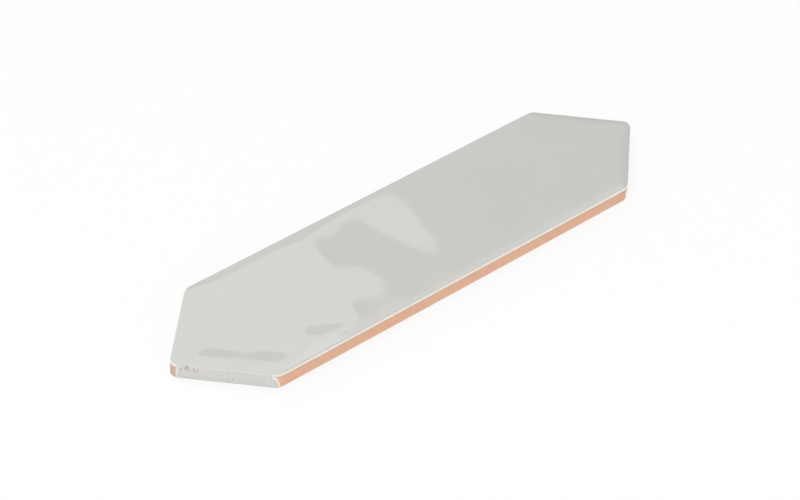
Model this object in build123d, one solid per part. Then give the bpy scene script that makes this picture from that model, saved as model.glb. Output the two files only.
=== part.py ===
from build123d import *
import math
import os

# Picket tile: a long hexagonal wall tile of red clay, pressed in one piece,
# with a gloss glaze fired onto its face and its four slanting end sides.
# The two long sides, the tips and the back are bare clay.
# The tile lies on its back. X runs from tip to tip, Y across, Z up through the
# face, and the origin is the middle of the back. All sizes are in millimetres.

# Driving dimensions of the finished tile
LENGTH = 300.0  # over the two bare tips
WIDTH = 75.0  # over the two bare long sides
THICKNESS = 9.0  # from the back to the glazed face
END_ANGLE = 45.0  # degrees from the long axis to each end side
TIP_RADIUS = 4.0  # rounding of a tip, seen from above
SHOULDER_RADIUS = 6.0  # rounding where an end side meets a long side

# Glaze
FACE_GLAZE = 0.4  # thickness on the face
SIDE_GLAZE = 0.2  # thickness on the end sides, where it stands proud of the clay
SKIRT_FOOT = 0.3  # bare strip wiped clean below the glaze of an end side
SKIRT_WRAP = 2.2  # how far that glaze runs past the start of the shoulder's rounding
SKIRT_CORNER_WIDTH = 3.6  # swept upper corner of that glaze, along the side
SKIRT_CORNER_HEIGHT = 7.0  # the same corner, down the side

# Clay body
FACE_EDGE_RADIUS = 1.4  # upper edge of the clay, which gives the glazed face its soft edge
BACK_EDGE_RADIUS = 0.2  # lower edge of the clay

# Keying grooves pressed into the back for the adhesive
GROOVE_PITCH = 8.0
GROOVE_WIDTH = 4.4  # at the back
GROOVE_DEPTH = 0.8
GROOVE_DRAFT = 30.0  # degrees, each wall
BACK_RIM = 5.0  # plain border left round the grooves

# Derived places
SLOPE = math.radians(END_ANGLE)
HALF_WIDTH = WIDTH / 2
SHARP_TIP_X = LENGTH / 2 + TIP_RADIUS * (1 / math.sin(SLOPE) - 1)
END_SIDE = HALF_WIDTH / math.sin(SLOPE)  # length of an end side between its sharp corners
TIP_TANGENT = TIP_RADIUS / math.tan(SLOPE)
SHOULDER_TANGENT = SHOULDER_RADIUS * math.tan(SLOPE / 2)
GLAZE_EDGE_RADIUS = FACE_EDGE_RADIUS + SIDE_GLAZE
# The glaze of the face rolls over the soft edge until it comes flush with the bare sides
LIP_DEPTH = GLAZE_EDGE_RADIUS - math.sqrt(GLAZE_EDGE_RADIUS**2 - FACE_EDGE_RADIUS**2)
LIP_Z = THICKNESS - LIP_DEPTH


def outline(growth):
    """Plan of the bare tile with its round corners, grown outwards by the thickness of a coat."""
    tip_x = SHARP_TIP_X + growth / math.sin(SLOPE)
    side_y = HALF_WIDTH + growth
    shoulder_x = tip_x - side_y / math.tan(SLOPE)
    right = [(shoulder_x, -side_y), (tip_x, 0), (shoulder_x, side_y)]
    left = [(-x, -y) for x, y in right]
    plan = make_face(Polyline(*right, *left, close=True))
    plan = fillet(plan.vertices().filter_by_position(Axis.Y, -side_y / 2, side_y / 2), TIP_RADIUS + growth)
    shoulders = plan.vertices().group_by(Axis.Y)[0] + plan.vertices().group_by(Axis.Y)[-1]
    return fillet(shoulders, SHOULDER_RADIUS + growth)


def soft_slab(side_growth, height):
    """Slab of the tile's plan with a rounded upper edge, grown on its sides and of a given height."""
    slab = extrude(outline(side_growth), height)
    return fillet(slab.faces().sort_by(Axis.Z)[-1].edges(), FACE_EDGE_RADIUS + side_growth)


def keying_grooves():
    """Parallel grooves along the back that stop at the plain rim, with a land on the centre line."""
    pairs = int((HALF_WIDTH - BACK_RIM) // GROOVE_PITCH)
    grooves = Part()
    for pair in range(pairs):
        y = (pair + 0.5) * GROOVE_PITCH
        reach = SHARP_TIP_X - BACK_RIM / math.sin(SLOPE) - (y + GROOVE_WIDTH / 2) / math.tan(SLOPE)
        groove = extrude(SlotOverall(2 * reach, GROOVE_WIDTH), GROOVE_DEPTH, taper=GROOVE_DRAFT)
        grooves += [Pos(0, y, 0) * groove, Pos(0, -y, 0) * groove]
    return grooves


def clay_body():
    """The pressed clay: plain sides, a rounded upper edge under the glaze, and the keyed back."""
    body = soft_slab(0, THICKNESS - FACE_GLAZE)
    body = fillet(body.faces().sort_by(Axis.Z)[0].edges(), BACK_EDGE_RADIUS)
    return body - keying_grooves()


def end_side_patch():
    """The glazed area of one end side, drawn on the plane of that side: square at the tip,
    with a swept upper corner where it runs onto the shoulder."""
    start = TIP_TANGENT
    stop = END_SIDE - SHOULDER_TANGENT + SKIRT_WRAP
    corner = EllipticalCenterArc(
        (stop - SKIRT_CORNER_WIDTH, LIP_Z - SKIRT_CORNER_HEIGHT),
        SKIRT_CORNER_WIDTH,
        SKIRT_CORNER_HEIGHT,
        start_angle=0,
        arc_size=90,
    )
    top = THICKNESS
    above_corner = (stop - SKIRT_CORNER_WIDTH, top)
    border = Polyline(corner @ 1, above_corner, (start, top), (start, SKIRT_FOOT), (stop, SKIRT_FOOT), corner @ 0)
    return make_face(corner + border)


def glaze_coat():
    """The glaze as one skin over the clay: the face down to its lip, and a skirt on each end side."""
    skin = soft_slab(SIDE_GLAZE, THICKNESS) - soft_slab(0, THICKNESS - FACE_GLAZE)
    tip_to_shoulder = (-math.cos(SLOPE), -math.sin(SLOPE), 0)
    inward = (-math.sin(SLOPE), math.cos(SLOPE), 0)
    side_plane = Plane(origin=(SHARP_TIP_X, 0, 0), x_dir=tip_to_shoulder, z_dir=inward)
    window = extrude(side_plane * end_side_patch(), SHOULDER_RADIUS, both=True)
    windows = window + mirror(window, Plane.XZ)
    windows += mirror(windows, Plane.YZ)
    above_lip = Align.CENTER, Align.CENTER, Align.MIN
    face_window = Pos(0, 0, LIP_Z) * Box(2 * LENGTH, 2 * WIDTH, THICKNESS, align=above_lip)
    return skin & (windows + face_window)


os.makedirs("parts", exist_ok=True)
export_step(clay_body(), "parts/clay_body.step")
export_step(glaze_coat(), "parts/glaze_coat.step")
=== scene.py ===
import math

import bpy
import bmesh
import numpy as np
from mathutils import Matrix, Quaternion, Vector


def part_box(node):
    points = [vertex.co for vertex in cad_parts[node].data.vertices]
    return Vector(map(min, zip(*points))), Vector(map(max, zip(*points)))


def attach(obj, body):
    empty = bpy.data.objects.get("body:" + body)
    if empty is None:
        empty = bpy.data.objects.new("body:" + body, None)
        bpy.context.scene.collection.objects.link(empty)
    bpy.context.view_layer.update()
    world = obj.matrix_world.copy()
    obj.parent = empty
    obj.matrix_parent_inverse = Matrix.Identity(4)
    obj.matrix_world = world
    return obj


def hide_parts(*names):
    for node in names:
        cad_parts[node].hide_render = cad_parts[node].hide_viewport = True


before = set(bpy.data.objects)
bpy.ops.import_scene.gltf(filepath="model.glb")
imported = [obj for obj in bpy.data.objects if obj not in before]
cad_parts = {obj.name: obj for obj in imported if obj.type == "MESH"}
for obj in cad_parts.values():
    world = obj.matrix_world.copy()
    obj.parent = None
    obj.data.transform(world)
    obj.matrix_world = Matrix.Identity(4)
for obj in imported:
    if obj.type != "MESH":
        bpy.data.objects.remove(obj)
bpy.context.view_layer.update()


# Glaze coat
# The glaze is a glassy coat poured over the pressed clay and fired. It lies in slow swells on the face,
# thins and rolls over the soft edge as a lip, and has run down the four slanting end sides as a thin skirt.
MM = 0.001
clay_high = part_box("clay_body")[1]
glaze_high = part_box("glaze_coat")[1]
HALF_LENGTH = clay_high.x
HALF_WIDTH = clay_high.y
CLAY_TOP = clay_high.z
FACE_TOP = glaze_high.z
SKIRT_FOOT = 0.06 * MM  # the fired glaze has crept down almost to the back
TIP_RADIUS = 4.0 * MM
SHOULDER_RADIUS = 6.0 * MM
CLAY_EDGE_RADIUS = 1.4 * MM
SIDE_GLAZE = 0.2 * MM

END_TURN = math.pi / 4  # the end sides stand at 45 degrees to the long axis
SHARP_TIP_X = HALF_LENGTH + TIP_RADIUS * (1 / math.sin(END_TURN) - 1)
SHOULDER_TANGENT = SHOULDER_RADIUS * math.tan(END_TURN / 2)
SHOULDER_CENTRE = np.array([SHARP_TIP_X - HALF_WIDTH - SHOULDER_TANGENT, HALF_WIDTH - SHOULDER_RADIUS])
END_SIDE_NORMAL = np.array([math.cos(END_TURN), math.sin(END_TURN)])
END_SIDE_RUN = np.array([-math.sin(END_TURN), math.cos(END_TURN)])
SHOULDER_STATION = HALF_WIDTH / math.sin(END_TURN) - SHOULDER_TANGENT  # where the shoulder's round starts

TIP_TANGENT = TIP_RADIUS / math.tan(END_TURN)
SKIRT_START = 3.2 * MM  # distances from the sharp tip between which the skirt lies
SKIRT_STOP = SHOULDER_STATION + 2.7 * MM
SKIRT_CORNER = 3.6 * MM  # length of the swept corner at the shoulder
CORNER_LIFT = 0.6 * MM  # the swept corner ends this far above the skirt's foot
SKIRT_OVERLAP = 0.25 * MM  # the skirt runs this far up under the coat of the face
SKIRT_STEP = 0.01 * MM  # and lies this much deeper than that coat
SKIRT_ROLL = 0.45 * MM  # the skirt's free borders roll down to the clay over this length

GLAZE_EDGE_RADIUS = CLAY_EDGE_RADIUS + SIDE_GLAZE
EDGE_SLOPE = 0.11  # how steeply the face falls where it meets its soft edge
FALL_ANGLE = math.atan(EDGE_SLOPE)
FALL_STOP = CLAY_EDGE_RADIUS - GLAZE_EDGE_RADIUS * math.sin(FALL_ANGLE)
FALL_REACH = 6.0 * MM  # the face starts to fall this far in from a long side
FALL_REACH_LEFT = 2.5 * MM  # and this far in from the end sides on the left
FALL_REACH_RIGHT = 6.0 * MM
FALL_REACH_AT_TIP = 3.6 * MM
LIP_ANGLE = math.radians(74)
LIP_ANGLE_AT_TIP = math.radians(88)
SUNK = 0.04 * MM  # the hidden side of the coat keys into the clay by this much
# The same scale sets where painted light brightens the end sides, and the rims at 1 get a painted highlight.
THIN_ON_SIDE = 0.4  # how thin the coat is on the end sides, from 0 on the face to 1 at a free rim


def station_of(points):
    """Distance of each point from the sharp tip of its end, measured along the slanting end side."""
    from_tip = SHARP_TIP_X - np.abs(points[:, 0])
    return from_tip * math.sin(END_TURN) + np.abs(points[:, 1]) * math.cos(END_TURN)


def crowded(count, power=1.6):
    """Steps from 0 to 1 that crowd together at both ends: t to a power, mirrored about the middle."""
    t = np.linspace(-1, 1, count)
    return 0.5 + 0.5 * np.sign(t) * (1 - (1 - np.abs(t)) ** power)


def outline_path():
    """The tile's outline as a closed path: tip arc, end side, shoulder arc and half a long side, then the
    same quarter mirrored three times. Returns the points and their outward normals."""
    tip_turn = np.linspace(0, END_TURN, 10)
    tip_normals = np.stack([np.cos(tip_turn), np.sin(tip_turn)], axis=1)
    tip = [HALF_LENGTH - TIP_RADIUS, 0] + TIP_RADIUS * tip_normals
    shoulder_turn = np.linspace(END_TURN, math.pi / 2, 22)
    shoulder_normals = np.stack([np.cos(shoulder_turn), np.sin(shoulder_turn)], axis=1)
    shoulder = SHOULDER_CENTRE + SHOULDER_RADIUS * shoulder_normals
    side_steps = crowded(70)[1:-1, None]
    end_side = tip[-1] + side_steps * (shoulder[0] - tip[-1])
    end_normals = np.broadcast_to(END_SIDE_NORMAL, end_side.shape)
    long_steps = np.linspace(0, 1, 96)[1:, None]
    long_side = shoulder[-1] * (1 - long_steps) + [0, HALF_WIDTH] * long_steps
    long_normals = np.broadcast_to([0.0, 1.0], long_side.shape)
    quarter = np.concatenate([tip, end_side, shoulder, long_side])
    normals = np.concatenate([tip_normals, end_normals, shoulder_normals, long_normals])
    turns = [([1, 1], 1), ([-1, 1], -1), ([-1, -1], 1), ([1, -1], -1)]
    points = np.concatenate([(quarter * sign)[::step][:-1] for sign, step in turns])
    return points, np.concatenate([(normals * sign)[::step][:-1] for sign, step in turns])


def soft_step(t):
    """Smooth rise from 0 to 1 as t goes from 0 to 1."""
    t = np.clip(t, 0, 1)
    return t * t * (3 - 2 * t)


# Swells and hollows of the fired face in millimetres: middle along and across the tile, half length, reach
# to each side, turn of the length from the long axis in degrees, and height
SWELLS = [
    (-10, 2, 24, 13.5, 97, -0.33),
    (-54, 21, 18, 10, 92, 0.30),
    (30, 26, 12, 12, 90, 0.09),
    (-44, -18, 7, 10, 90, -0.05),
    (-70, -26, 10, 11, 90, 0.34),
    (-26, -30, 8, 14, 90, -0.12),
    (-80, -31, 10, 6, -30, 0.22),
    (-75, -22, 10, 6, -30, -0.36),
    (-131, -10, 7, 4, -45, 0.28),
    (-127, -6, 7, 4, -45, -0.28),
    (-122, -18, 6, 3, -45, 0.14),
    (-119, -15, 6, 3, -45, -0.14),
    (-113, -27, 8, 5, -45, 0.34),
    (-108, -22, 8, 5, -45, -0.34),
    (64, -12, 16, 13, 70, 0.22),
    (90, 14, 15, 12, 110, -0.24),
    (113, -8, 12, 11, 80, 0.20),
]
SWELL_FADE = 4.5 * MM  # the swells die out over this length before the soft edge
SWELL_FADE_FRONT = 7.0 * MM  # and over this one along the front


def face_swell(x, y):
    """Height of the swells above the flat face. Each is a long hill or hollow, flat along its length and a
    bell curve across it: exp(-(u**4 + v**2) / 2). They add up, and die out before the soft edge."""
    swell = np.zeros_like(x)
    for along, across, half_length, reach, turn, height in SWELLS:
        cos, sin = math.cos(math.radians(turn)), math.sin(math.radians(turn))
        from_x = x / MM - along
        from_y = y / MM - across
        u = (from_x * cos + from_y * sin) / half_length
        v = (from_y * cos - from_x * sin) / reach
        swell += height * MM * np.exp(-0.5 * (u**4 + v**2))
    from_long_side = HALF_WIDTH - np.abs(y)
    from_end_side = (SHARP_TIP_X - np.abs(x) - np.abs(y)) * math.sin(END_TURN)
    fade_along = soft_step((from_end_side - CLAY_EDGE_RADIUS) / SWELL_FADE)
    long_side_fade = np.where(y < 0, SWELL_FADE_FRONT, SWELL_FADE)
    fade_across = soft_step((from_long_side - CLAY_EDGE_RADIUS) / long_side_fade)
    return swell * fade_along * fade_across


def skirt_share(station):
    """1 where a skirt carries on below the face's glaze, and 0 along the bare tips and long sides."""
    past_tip = soft_step((station - SKIRT_START) / (0.4 * MM))
    return past_tip * soft_step((SKIRT_STOP - SKIRT_CORNER * 0.8 - station) / (1.2 * MM))


def lip_angle(station):
    """How far round the soft edge the face's glaze reaches: to the vertical where a skirt carries on below
    it, and short of that, as a free lip, along the bare tips and long sides."""
    bare = LIP_ANGLE + (LIP_ANGLE_AT_TIP - LIP_ANGLE) * (station < SKIRT_STOP / 2)
    return bare + skirt_share(station) * (math.pi / 2 - bare)


def fall_reach(points):
    """How far in from the edge the face starts to fall: its own reach along the long sides, the left and the
    right end, and a short one at the tips, where the outline turns sharply."""
    station = station_of(points)
    at_end = np.where(points[:, 0] < 0, FALL_REACH_LEFT, FALL_REACH_RIGHT)
    at_tip = np.minimum(at_end, FALL_REACH_AT_TIP)
    reach = at_tip + (at_end - at_tip) * soft_step((station - TIP_TANGENT) / (14 * MM))
    return reach + (FALL_REACH - reach) * soft_step((station - SHOULDER_STATION) / (16 * MM))


def face_coat():
    """The face and its lip as one closed skin. A section is carried round the outline: from the middle of
    the tile under the glaze, up the clay's soft edge, round the bead of the lip, back over the outside of
    the edge, up the slight fall of the face and in to the middle again. Rows are steps of the section."""
    points, normals = outline_path()
    reach = lip_angle(station_of(points))[:, None]
    spine_x = np.clip(points[:, 0], -SHOULDER_CENTRE[0], SHOULDER_CENTRE[0])
    spine = np.stack([spine_x, np.zeros_like(spine_x)], axis=1)

    fall_start = fall_reach(points)[:, None]
    fall_depth = EDGE_SLOPE * (fall_start - FALL_STOP) / 2
    centre_z = FACE_TOP - fall_depth - GLAZE_EDGE_RADIUS * math.cos(FALL_ANGLE)
    clay_centre_z = CLAY_TOP - CLAY_EDGE_RADIUS
    inner_radius = CLAY_EDGE_RADIUS - SUNK

    inner_turn = reach * np.linspace(0, 1, 7)
    inner_inset = CLAY_EDGE_RADIUS - inner_radius * np.sin(inner_turn)
    inner_z = clay_centre_z + inner_radius * np.cos(inner_turn)

    outer_turn = FALL_ANGLE + (reach - FALL_ANGLE) * np.linspace(1, 0, 15)
    outer_inset = CLAY_EDGE_RADIUS - GLAZE_EDGE_RADIUS * np.sin(outer_turn)
    outer_z = centre_z + GLAZE_EDGE_RADIUS * np.cos(outer_turn)

    bead_turn = np.linspace(0, math.pi, 6)[1:-1]
    inside = np.stack([inner_inset[:, -1], inner_z[:, -1]], axis=1)[:, None]
    outside = np.stack([outer_inset[:, 0], outer_z[:, 0]], axis=1)[:, None]
    half = (outside - inside) / 2
    onward = np.stack([-half[..., 1], half[..., 0]], axis=2)
    across_bead = half * np.cos(bead_turn)[None, :, None]
    along_bead = onward * np.sin(bead_turn)[None, :, None]
    bead = inside + half - across_bead - along_bead

    fall_steps = np.linspace(0, 1, 11)[1:]
    fall_inset = FALL_STOP + fall_steps * (fall_start - FALL_STOP)
    fall_z = FACE_TOP - fall_depth * (1 - fall_steps) ** 2

    inset = np.concatenate([inner_inset, bead[..., 0], outer_inset, fall_inset], axis=1)
    height = np.concatenate([inner_z, bead[..., 1], outer_z, fall_z], axis=1)
    ring = points[:, None] - inset[..., None] * normals[:, None]
    inward = (np.linspace(0, 1, 40)[1:] ** 0.9)[None, :, None]
    top = ring[:, -1:] + inward * (spine[:, None] - ring[:, -1:])
    plan = np.concatenate([spine[:, None], ring, top], axis=1)
    under = np.full((len(points), 1), CLAY_TOP - SUNK)
    over = np.full((len(points), top.shape[1]), FACE_TOP)
    height = np.concatenate([under, height, over], axis=1)
    first_face_row = 1 + inner_z.shape[1] + bead.shape[1] + outer_z.shape[1]
    height[:, first_face_row:] += face_swell(plan[:, first_face_row:, 0], plan[:, first_face_row:, 1])

    # This mask marks the glaze rolling over the edge: 1 over the bare sides, where the colour paints a
    # highlight on the lip along with the thin coat's warmer tone, and lower above the skirts, where painted
    # light brightens the end sides.
    thinning_and_painted_light = np.zeros_like(height)
    outer_rows = slice(1, first_face_row)
    over_edge = soft_step((FACE_TOP - fall_depth - height[:, outer_rows]) / (0.7 * MM))
    bare_below = 1 - skirt_share(station_of(points))[:, None]
    thinning_and_painted_light[:, outer_rows] = over_edge * (THIN_ON_SIDE + (1 - THIN_ON_SIDE) * bare_below)
    return np.concatenate([plan, height[..., None]], axis=2), thinning_and_painted_light


def end_skirt(fall_start):
    """The glaze of one end side, as a closed leaf over the station along the side and the height. Its upper
    border is level and then sweeps down as a quarter ellipse at the shoulder. The leaf stands off the clay
    by the glaze's thickness, and its free borders roll down to the clay as quarter rounds. The fall of the
    face above it sets its height. Each row runs up the outside and back down the inside."""
    fall_depth = EDGE_SLOPE * (fall_start - FALL_STOP) / 2
    centre_z = FACE_TOP - fall_depth - GLAZE_EDGE_RADIUS * math.cos(FALL_ANGLE)
    across = crowded(64, 2.2)[:, None]
    station = SKIRT_START + across * (SKIRT_STOP - SKIRT_START)
    into_corner = np.clip((station - SKIRT_STOP) / SKIRT_CORNER + 1, 0, 1)
    corner_foot = SKIRT_FOOT + CORNER_LIFT
    corner_height = centre_z + SKIRT_OVERLAP - corner_foot
    border = corner_foot + corner_height * np.sqrt(1 - into_corner**2)
    up = crowded(24, 2.2)[None, :]
    height = SKIRT_FOOT + up * (border - SKIRT_FOOT)

    from_tip = station - SKIRT_START + 0 * height
    from_foot = height - SKIRT_FOOT
    corner_u = into_corner + 0 * height
    corner_v = np.clip((height - corner_foot) / corner_height, 0, 1)
    from_corner = SKIRT_CORNER * (1 - np.hypot(corner_u, corner_v * (corner_u > 0)))
    from_rim = np.minimum(np.minimum(from_tip, from_foot), from_corner)
    roll = np.clip(1 - from_rim / SKIRT_ROLL, 0, 1)
    stand_off = (SIDE_GLAZE - SKIRT_STEP + SUNK) * np.sqrt(1 - roll**2) - SUNK

    past_shoulder = np.clip((station - SHOULDER_STATION) / SHOULDER_RADIUS, 0, 1)
    before_tangent = np.clip((TIP_TANGENT - station) / TIP_RADIUS, 0, 1)
    turn = (np.arcsin(past_shoulder) - np.arcsin(before_tangent))[..., None]
    radius = np.where(turn > 0, SHOULDER_RADIUS, TIP_RADIUS)
    round_normal = np.cos(turn) * END_SIDE_NORMAL + np.sin(turn) * END_SIDE_RUN
    flat_station = np.clip(station, TIP_TANGENT, SHOULDER_STATION)[..., None]
    flat_point = [SHARP_TIP_X, 0] + flat_station * END_SIDE_RUN
    base = flat_point + radius * (round_normal - END_SIDE_NORMAL)
    outside = base + stand_off[..., None] * round_normal
    inside = base - SUNK * round_normal + 0 * outside
    outside = np.concatenate([outside, height[..., None]], axis=2)
    inside = np.concatenate([inside, height[..., None]], axis=2)
    from_side_rim = np.minimum(from_tip, from_corner)
    # This mask also paints light: its level share brightens the end sides as painted light, and its rise to 1
    # at the free rims makes a painted highlight.
    thinning_and_painted_light = THIN_ON_SIDE + (1 - THIN_ON_SIDE) * soft_step(1.4 - from_side_rim / (0.6 * MM))
    leaf = np.concatenate([outside, inside[:, ::-1]], axis=1)
    return leaf, np.concatenate([thinning_and_painted_light, thinning_and_painted_light[:, ::-1]], axis=1)


def grid_faces(rows, columns, start, wrap):
    """Quads of a grid whose points are numbered row by row from start. Wrap joins the last row to
    the first."""
    number = start + np.arange(rows * columns).reshape(rows, columns)
    if wrap:
        number = np.concatenate([number, number[:1]])
    a, b, c, d = number[:-1, :-1], number[1:, :-1], number[1:, 1:], number[:-1, 1:]
    return np.stack([a, b, c, d], axis=-1).reshape(-1, 4)


coat, thinning_and_painted_light = face_coat()
grids = [(coat, thinning_and_painted_light, True, False)]
for mirror_x, mirror_y in ((1, 1), (-1, 1), (-1, -1), (1, -1)):
    skirt, skirt_thinning_and_painted_light = end_skirt(FALL_REACH_LEFT if mirror_x < 0 else FALL_REACH_RIGHT)
    flip = [mirror_x, mirror_y, 1]
    grids.append((skirt * flip, skirt_thinning_and_painted_light, False, mirror_x * mirror_y < 0))
corners = []
faces = []
thin = []
for grid, grid_thin_and_lit, wrap, turned in grids:
    quads = grid_faces(grid.shape[0], grid.shape[1], sum(map(len, corners)), wrap)
    faces.append(quads[:, ::-1] if turned else quads)
    corners.append(grid.reshape(-1, 3))
    thin.append(grid_thin_and_lit.reshape(-1))
glaze_mesh = bpy.data.meshes.new("glaze_coat_fired")
glaze_mesh.from_pydata(np.concatenate(corners).tolist(), [], np.concatenate(faces).tolist())
thin_and_lit_layer = glaze_mesh.attributes.new("glaze_thinning_and_painted_light", "FLOAT", "POINT")
thin_and_lit_layer.data.foreach_set("value", np.concatenate(thin).astype(np.float32))
welded = bmesh.new()
welded.from_mesh(glaze_mesh)
bmesh.ops.remove_doubles(welded, verts=welded.verts, dist=0.0005 * MM)
bmesh.ops.dissolve_degenerate(welded, edges=welded.edges, dist=0.0005 * MM)
welded.to_mesh(glaze_mesh)
welded.free()
glaze_mesh.shade_smooth()
glaze = bpy.data.objects.new("glaze_coat_fired", glaze_mesh)
bpy.context.collection.objects.link(glaze)


def noise(nodes, links, place, scale, detail):
    """A noise pattern on the piece's own coordinates, with so many features to the metre."""
    pattern = nodes.new("ShaderNodeTexNoise")
    pattern.inputs["Scale"].default_value = scale
    pattern.inputs["Detail"].default_value = detail
    links.new(place, pattern.inputs["Vector"])
    return pattern.outputs["Fac"]


def colour_ramp(nodes, links, value, stops):
    """Colours along a value from 0 to 1, given as places and colours."""
    ramp = nodes.new("ShaderNodeValToRGB")
    elements = ramp.color_ramp.elements
    while len(elements) < len(stops):
        elements.new(0.5)
    for element, (position, colour) in zip(elements, stops):
        element.position = position
        element.color = (*colour, 1)
    links.new(value, ramp.inputs["Fac"])
    return ramp.outputs["Color"]


def mixed(nodes, links, share, first, second, blend="MIX"):
    """Two colours mixed by a share, or blended in another way."""
    mix = nodes.new("ShaderNodeMix")
    mix.data_type = "RGBA"
    mix.blend_type = blend
    for value, socket in ((share, "Factor_Float"), (first, "A_Color"), (second, "B_Color")):
        target = next(entry for entry in mix.inputs if entry.identifier == socket)
        if isinstance(value, bpy.types.NodeSocket):
            links.new(value, target)
        else:
            target.default_value = value
    return next(entry for entry in mix.outputs if entry.identifier == "Result_Color")


def math_node(nodes, links, operation, first, second):
    """One arithmetic step on a value and a value or number."""
    step = nodes.new("ShaderNodeMath")
    step.operation = operation
    links.new(first, step.inputs[0])
    if isinstance(second, bpy.types.NodeSocket):
        links.new(second, step.inputs[1])
    else:
        step.inputs[1].default_value = second
    return step.outputs[0]


def dots(nodes, links, place, scale, size):
    """Scattered round dots, 1 inside a dot and 0 outside, from the distance to random cell points."""
    cells = nodes.new("ShaderNodeTexVoronoi")
    cells.inputs["Scale"].default_value = scale
    links.new(place, cells.inputs["Vector"])
    return math_node(nodes, links, "LESS_THAN", cells.outputs["Distance"], size)


def bump(nodes, links, height, depth, normal=None):
    """A small relief from a height pattern, with its depth in metres."""
    relief = nodes.new("ShaderNodeBump")
    relief.inputs["Distance"].default_value = depth
    links.new(height, relief.inputs["Height"])
    if normal is not None:
        links.new(normal, relief.inputs["Normal"])
    return relief.outputs["Normal"]


def glaze_material():
    """Gloss pale grey glaze. Its colour drifts in faint clouds, is a little paler and finely speckled where
    the coat is thin on the end sides, paler there partly from painted light that brightens those sides, and
    turns warm white at the free rims, partly thin glaze over the clay and partly a painted highlight.
    Pinholes, painted dark as the shade inside them, lie in two small groups high on each end side, beside the
    tip, and in two fainter ones low on its middle."""
    material = bpy.data.materials.new("gloss_grey_glaze")
    material.use_nodes = True
    nodes = material.node_tree.nodes
    links = material.node_tree.links
    shader = nodes["Principled BSDF"]
    place = nodes.new("ShaderNodeTexCoord").outputs["Object"]

    clouds = noise(nodes, links, place, 28, 3)
    body = colour_ramp(nodes, links, clouds, [(0.3, (0.562, 0.546, 0.512)), (0.7, (0.536, 0.543, 0.518))])
    thin = nodes.new("ShaderNodeAttribute")
    thin.attribute_name = "glaze_thinning_and_painted_light"
    # Painted light: the end sides are a little paler, partly a thinner glaze and partly painted light that
    # brightens them, and the free rims are warm white, partly thin glaze over the clay and partly a painted
    # highlight on the lip and rims.
    side_tint_and_painted_light = colour_ramp(
        nodes, links, thin.outputs["Fac"],
        [(0.0, (1.0, 1.0, 1.0)), (THIN_ON_SIDE, (1.12, 1.11, 1.13)), (1.0, (1.57, 1.48, 1.43))],
    )
    tinted_with_painted_light = mixed(nodes, links, 1.0, body, side_tint_and_painted_light, "MULTIPLY")
    on_side = math_node(nodes, links, "GREATER_THAN", thin.outputs["Fac"], THIN_ON_SIDE - 0.05)
    fine = noise(nodes, links, place, 900, 2)
    speckle = colour_ramp(nodes, links, fine, [(0.35, (0.94, 0.94, 0.94)), (0.65, (1.04, 1.03, 1.03))])
    speckled = mixed(nodes, links, on_side, tinted_with_painted_light, speckle, "MULTIPLY")

    parts = nodes.new("ShaderNodeSeparateXYZ")
    links.new(place, parts.inputs[0])
    along = math_node(nodes, links, "ABSOLUTE", parts.outputs["X"], 0)
    high = math_node(nodes, links, "GREATER_THAN", parts.outputs["Z"], 0.0052)
    low = math_node(nodes, links, "LESS_THAN", parts.outputs["Z"], 0.0045)
    groups = None
    # Distance of each group from the middle of the tile, reach to each side, level on the side and strength
    for middle, reach, level, strength in (
        (0.1463, 0.0016, high, 1.0), (0.1428, 0.0010, high, 1.0),
        (0.1312, 0.0012, low, 0.3), (0.1266, 0.0010, low, 0.3),
    ):
        away = math_node(nodes, links, "ABSOLUTE", math_node(nodes, links, "SUBTRACT", along, middle), 0)
        near = math_node(nodes, links, "LESS_THAN", away, reach)
        spot = math_node(nodes, links, "MULTIPLY", near, level)
        group = math_node(nodes, links, "MULTIPLY", spot, strength)
        groups = group if groups is None else math_node(nodes, links, "MAXIMUM", groups, group)
    where = math_node(nodes, links, "MULTIPLY", groups, on_side)
    # Painted shade: the pinholes are mixed to nearly black, standing in for the shade inside them.
    holes = math_node(nodes, links, "MULTIPLY", dots(nodes, links, place, 1000, 0.3), where)
    pits_in_painted_shade = mixed(nodes, links, holes, speckled, (0.14, 0.13, 0.12, 1))
    links.new(pits_in_painted_shade, shader.inputs["Base Color"])

    ripple = noise(nodes, links, place, 320, 1)
    skin = bump(nodes, links, ripple, 0.000004)
    sunk = math_node(nodes, links, "MULTIPLY", holes, -1.0)
    links.new(bump(nodes, links, sunk, 0.00008, skin), shader.inputs["Normal"])
    shader.inputs["Roughness"].default_value = 0.035
    shader.inputs["IOR"].default_value = 1.55
    return material


glaze_mesh.materials.append(glaze_material())
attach(glaze, "root")
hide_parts("glaze_coat")


# Clay body
# The body is pressed from red clay and fired to a matt pale terracotta. It is bare on the long sides,
# the tips, the shoulders and the grooved back.
def faded(nodes, links, value, start, stop, most):
    """A smooth rise from 0 to its most as a value goes from start to stop."""
    fade = nodes.new("ShaderNodeMapRange")
    fade.interpolation_type = "SMOOTHSTEP"
    fade.inputs["From Min"].default_value = start
    fade.inputs["From Max"].default_value = stop
    fade.inputs["To Max"].default_value = most
    links.new(value, fade.inputs["Value"])
    return fade.outputs[0]


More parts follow.
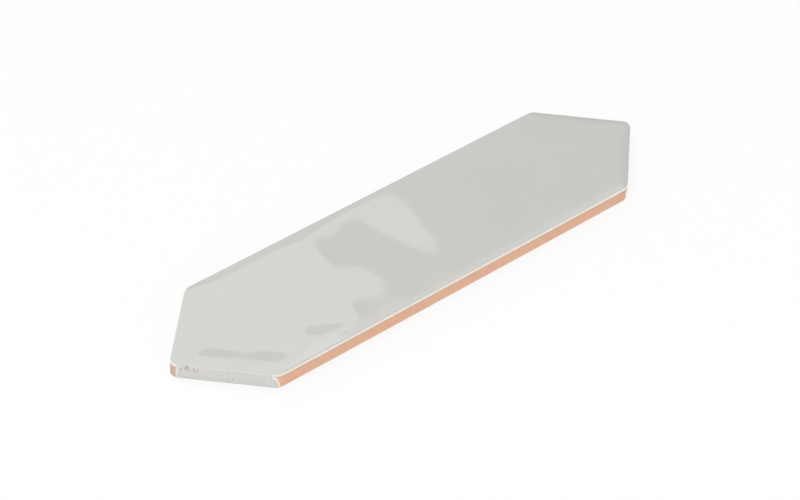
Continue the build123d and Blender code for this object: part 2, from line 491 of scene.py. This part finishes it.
def clay_material():
    """Fired red clay: terracotta in small yellower and redder patches, with a sandy grain, pale grog and open
    pits, painted dark as the shade inside them. Painted shade makes it darker and greyer close under the lip,
    it is darker and greyer round the tips, and its lower edge and back are paler."""
    material = bpy.data.materials.new("fired_red_clay")
    material.use_nodes = True
    nodes = material.node_tree.nodes
    links = material.node_tree.links
    shader = nodes["Principled BSDF"]
    place = nodes.new("ShaderNodeTexCoord").outputs["Object"]

    clouds = noise(nodes, links, place, 260, 3)
    body = colour_ramp(nodes, links, clouds, [(0.35, (0.80, 0.45, 0.34)), (0.65, (0.78, 0.50, 0.30))])
    grain = noise(nodes, links, place, 1500, 3)
    sanded = mixed(
        nodes, links, 1.0, body,
        colour_ramp(nodes, links, grain, [(0.3, (0.93, 0.91, 0.9)), (0.7, (1.0, 1.0, 1.0))]), "MULTIPLY",
    )
    grog = mixed(nodes, links, dots(nodes, links, place, 420, 0.13), sanded, (0.78, 0.52, 0.40, 1))
    # Painted shade: the open pits are mixed to a dark brown, standing in for the shade inside them.
    pits = dots(nodes, links, place, 610, 0.12)
    pits_in_painted_shade = mixed(nodes, links, pits, grog, (0.42, 0.22, 0.15, 1))

    parts = nodes.new("ShaderNodeSeparateXYZ")
    links.new(place, parts.inputs[0])
    # Painted shade: towards the lip the clay is mixed halfway to a darker grey, standing in for the lip's
    # shadow.
    shade_under_lip = faded(nodes, links, parts.outputs["Z"], 0.0045, 0.0078, 0.5)
    shaded_under_lip = mixed(nodes, links, shade_under_lip, pits_in_painted_shade, (0.51, 0.445, 0.385, 1))
    along = math_node(nodes, links, "ABSOLUTE", parts.outputs["X"], 0)
    # The clay is darker and greyer round the tips.
    at_tip = faded(nodes, links, along, 0.1465, 0.1485, 0.65)
    greyer_round_tips = mixed(nodes, links, at_tip, shaded_under_lip, (0.475, 0.41, 0.335, 1))
    # The clay is paler towards its foot, over the lowest 2 mm and the back.
    foot = faded(nodes, links, parts.outputs["Z"], 0.0020, 0.0, 0.45)
    paler_towards_foot = mixed(nodes, links, foot, greyer_round_tips, (0.86, 0.64, 0.53, 1))
    links.new(paler_towards_foot, shader.inputs["Base Color"])

    rough = bump(nodes, links, grain, 0.00006)
    sunk = math_node(nodes, links, "MULTIPLY", pits, -1.0)
    links.new(bump(nodes, links, sunk, 0.00015, rough), shader.inputs["Normal"])
    shader.inputs["Roughness"].default_value = 0.85
    shader.inputs["Specular IOR Level"].default_value = 0.3
    return material


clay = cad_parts["clay_body"]
clay.data.materials.clear()
clay.data.materials.append(clay_material())


# Studio floor and light
# A plain pale floor under a soft sky with paler and darker patches, a large soft key light above the front
# left, a weak one at the front right that lights the lip, and one softbox behind the tile, whose edge shows
# as patches in the glaze.
def floor_material():
    """White floor that keeps a faint shadow: mostly its own white to the eye, and matt white to the light."""
    material = bpy.data.materials.new("pale_floor")
    material.use_nodes = True
    nodes = material.node_tree.nodes
    links = material.node_tree.links
    shader = nodes["Principled BSDF"]
    shader.inputs["Base Color"].default_value = (0.9, 0.9, 0.9, 1)
    shader.inputs["Roughness"].default_value = 1.0
    shader.inputs["Specular IOR Level"].default_value = 0.0
    white = nodes.new("ShaderNodeEmission")
    white.inputs["Color"].default_value = (1, 1, 1, 1)
    white.inputs["Strength"].default_value = 1.0
    rays = nodes.new("ShaderNodeLightPath").outputs
    seen_or_mirrored = math_node(nodes, links, "MAXIMUM", rays["Is Camera Ray"], rays["Is Glossy Ray"])
    seen = math_node(nodes, links, "MAXIMUM", seen_or_mirrored, rays["Is Transmission Ray"])
    share = math_node(nodes, links, "MULTIPLY", seen, 0.8)
    mix = nodes.new("ShaderNodeMixShader")
    links.new(share, mix.inputs[0])
    links.new(shader.outputs[0], mix.inputs[1])
    links.new(white.outputs[0], mix.inputs[2])
    links.new(mix.outputs[0], nodes["Material Output"].inputs["Surface"])
    return material


FLOOR_REACH = 12.0
floor_mesh = bpy.data.meshes.new("floor")
floor_corners = [(-FLOOR_REACH, -FLOOR_REACH, 0), (FLOOR_REACH, -FLOOR_REACH, 0)]
floor_corners += [(FLOOR_REACH, FLOOR_REACH, 0), (-FLOOR_REACH, FLOOR_REACH, 0)]
floor_mesh.from_pydata(floor_corners, [], [(0, 1, 2, 3)])
floor_mesh.materials.append(floor_material())
floor = bpy.data.objects.new("floor", floor_mesh)
bpy.context.collection.objects.link(floor)

sky = bpy.data.worlds.new("studio")
sky.use_nodes = True
sky_nodes = sky.node_tree.nodes
sky_links = sky.node_tree.links
sky_parts = sky_nodes.new("ShaderNodeSeparateXYZ")
sky_where = sky_nodes.new("ShaderNodeTexCoord").outputs["Generated"]
sky_links.new(sky_where, sky_parts.inputs[0])
sky_level = sky_nodes.new("ShaderNodeMapRange")
sky_level.inputs["From Min"].default_value = 0.2
sky_level.inputs["From Max"].default_value = 1.0
sky_level.inputs["To Min"].default_value = 0.50
sky_level.inputs["To Max"].default_value = 0.645
sky_links.new(sky_parts.outputs["Z"], sky_level.inputs["Value"])


def sky_patch(level, middle, rim, full, strength):
    """The sky's level with a soft round patch added: a direction to its middle, the cosine of the angle at
    which it starts and of the angle at which it is full, and its strength, below 0 for a dark one."""
    angle = sky_nodes.new("ShaderNodeVectorMath")
    angle.operation = "DOT_PRODUCT"
    angle.inputs[1].default_value = Vector(middle).normalized()
    sky_links.new(sky_where, angle.inputs[0])
    patch = faded(sky_nodes, sky_links, angle.outputs["Value"], rim, full, strength)
    return math_node(sky_nodes, sky_links, "ADD", level, patch)


back_glow = sky_patch(sky_level.outputs[0], (0.30, 0.82, 0.48), 0.90, 0.98, 0.3)
left_glow = sky_patch(back_glow, (-0.05, 0.80, 0.60), 0.85, 0.92, 0.85)
high_glow = sky_patch(left_glow, (0.45, 0.20, 0.87), 0.93, 0.98, 0.7)
dark_right = sky_patch(high_glow, (0.90, 0.35, 0.25), 0.855, 0.885, -0.35)
dark_low = sky_patch(dark_right, (0.68, 0.68, 0.20), 0.93, 0.96, -0.6)
sky_strength = math_node(sky_nodes, sky_links, "MAXIMUM", dark_low, 0.0)
sky_links.new(sky_strength, sky_nodes["Background"].inputs["Strength"])
sky_nodes["Background"].inputs["Color"].default_value = (1, 1, 1, 1)
bpy.context.scene.world = sky


def soft_light(name, place, aim, roll, size, power):
    """A rectangular soft light at a place, facing an aim and rolled about that line."""
    lamp = bpy.data.lights.new(name, "AREA")
    lamp.shape = "RECTANGLE"
    lamp.size = size[0]
    lamp.size_y = size[1]
    lamp.energy = power
    holder = bpy.data.objects.new(name, lamp)
    holder.location = place
    facing = (Vector(aim) - Vector(place)).to_track_quat("-Z", "Y")
    holder.rotation_euler = (facing @ Quaternion((0, 0, 1), roll)).to_euler()
    bpy.context.collection.objects.link(holder)
    return holder


soft_light("key_light", (-2.0, -1.3, 1.8), (0, 0, 0), 0, (3.4, 3.4), 46)
soft_light("lip_light", (1.5, -2.1, 1.0), (0, 0, 0), 0, (1.8, 1.8), 8)
soft_light("softbox", (1.288, 1.624, 5.121), (-2.461, -2.430, 0), math.radians(27.3), (2.4, 4.4), 39)


# Camera
# A long lens above the front left corner, turned a little about its own axis, as the tile was photographed.
PHOTO_WIDTH = 800
FOCAL_PIXELS = 2782.7
CAMERA_PLACE = Vector((-0.7090, -0.7492, 0.9556))
CAMERA_AIM = Vector((-0.01183, -0.00447, 0.0090))
CAMERA_ROLL = math.radians(4.66)
lens = bpy.data.cameras.new("camera")
lens.sensor_width = 36
lens.lens = FOCAL_PIXELS / PHOTO_WIDTH * lens.sensor_width
lens.clip_start = 0.01
lens.clip_end = 100
camera = bpy.data.objects.new("camera", lens)
forward = (CAMERA_AIM - CAMERA_PLACE).normalized()
level_right = forward.cross(Vector((0, 0, 1))).normalized()
level_up = level_right.cross(forward)
right = math.cos(CAMERA_ROLL) * level_right + math.sin(CAMERA_ROLL) * level_up
up = math.cos(CAMERA_ROLL) * level_up - math.sin(CAMERA_ROLL) * level_right
camera.matrix_world = Matrix.Translation(CAMERA_PLACE) @ Matrix((right, up, -forward)).transposed().to_4x4()
bpy.context.collection.objects.link(camera)
bpy.context.scene.camera = camera
bpy.context.scene.view_settings.view_transform = "Standard"
